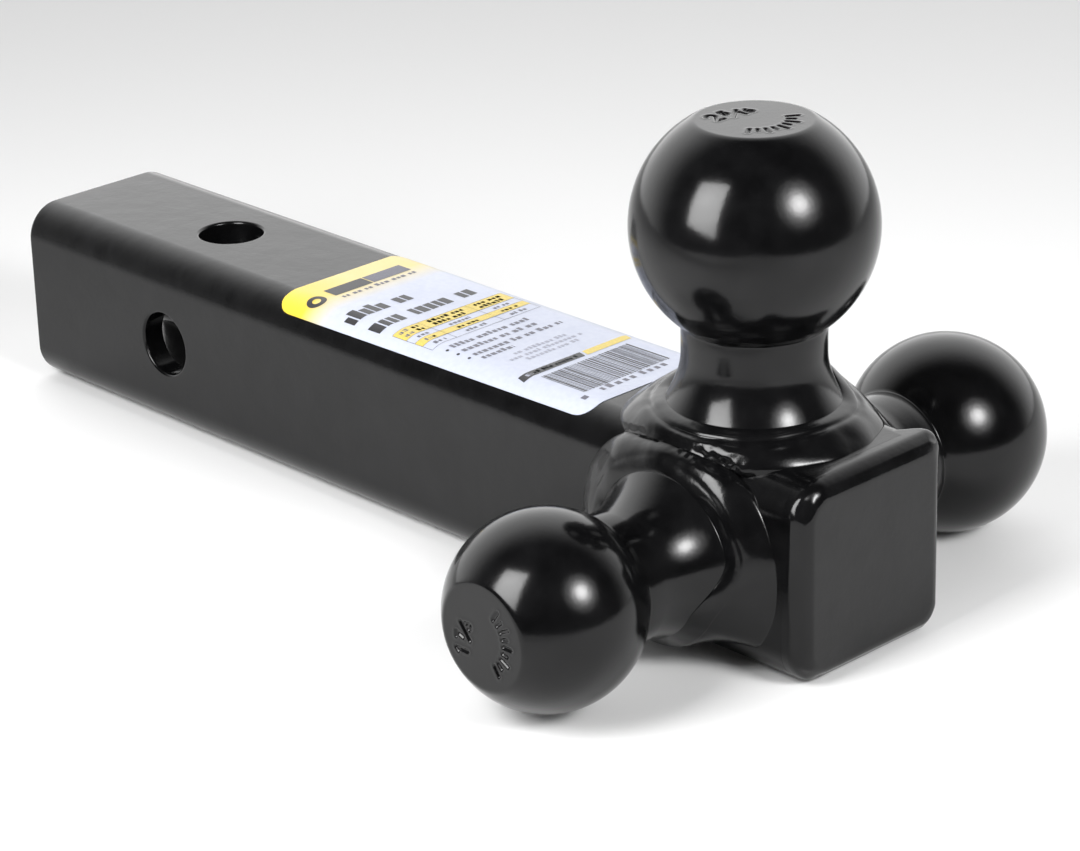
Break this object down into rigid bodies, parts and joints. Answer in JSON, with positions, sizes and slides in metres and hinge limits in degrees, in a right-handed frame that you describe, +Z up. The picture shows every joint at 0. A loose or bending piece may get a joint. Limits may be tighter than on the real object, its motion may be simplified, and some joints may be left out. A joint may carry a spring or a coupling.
{
  "type": "trailer hitch ball mount",
  "caption": "Square receiver shank with welded end cap and hitch balls of different sizes on its top and sides, for coupling trailers.",
  "frame": {"origin": "on the shank's underside, straight below the axis of the top ball", "axes": "+X along the shank towards its capped front end, +Y towards the 2 inch side ball, +Z up along the top ball's axis"},
  "size_m": [0.291, 0.1821, 0.1251],
  "materials": {
    "shank_powder_coat": "gloss black powder coat",
    "ball_powder_coat": "gloss black powder coat",
    "weld_powder_coat": "gloss black powder coat over weld beads",
    "label_film": "printed film label with plain bars and blocks"
  },
  "bodies": {
    "root": {"shank_tube": "shank_powder_coat", "end_cap": "shank_powder_coat", "end_cap_weld": "weld_powder_coat", "label": "label_film", "top_ball": "ball_powder_coat", "top_ball_weld_upper_run": "weld_powder_coat", "top_ball_weld_lower_run": "weld_powder_coat", "small_ball": "ball_powder_coat", "small_ball_weld_upper_run": "weld_powder_coat", "small_ball_weld_lower_run": "weld_powder_coat", "medium_ball": "ball_powder_coat", "medium_ball_weld_upper_run": "weld_powder_coat", "medium_ball_weld_lower_run": "weld_powder_coat"}
  },
  "joints": []
}
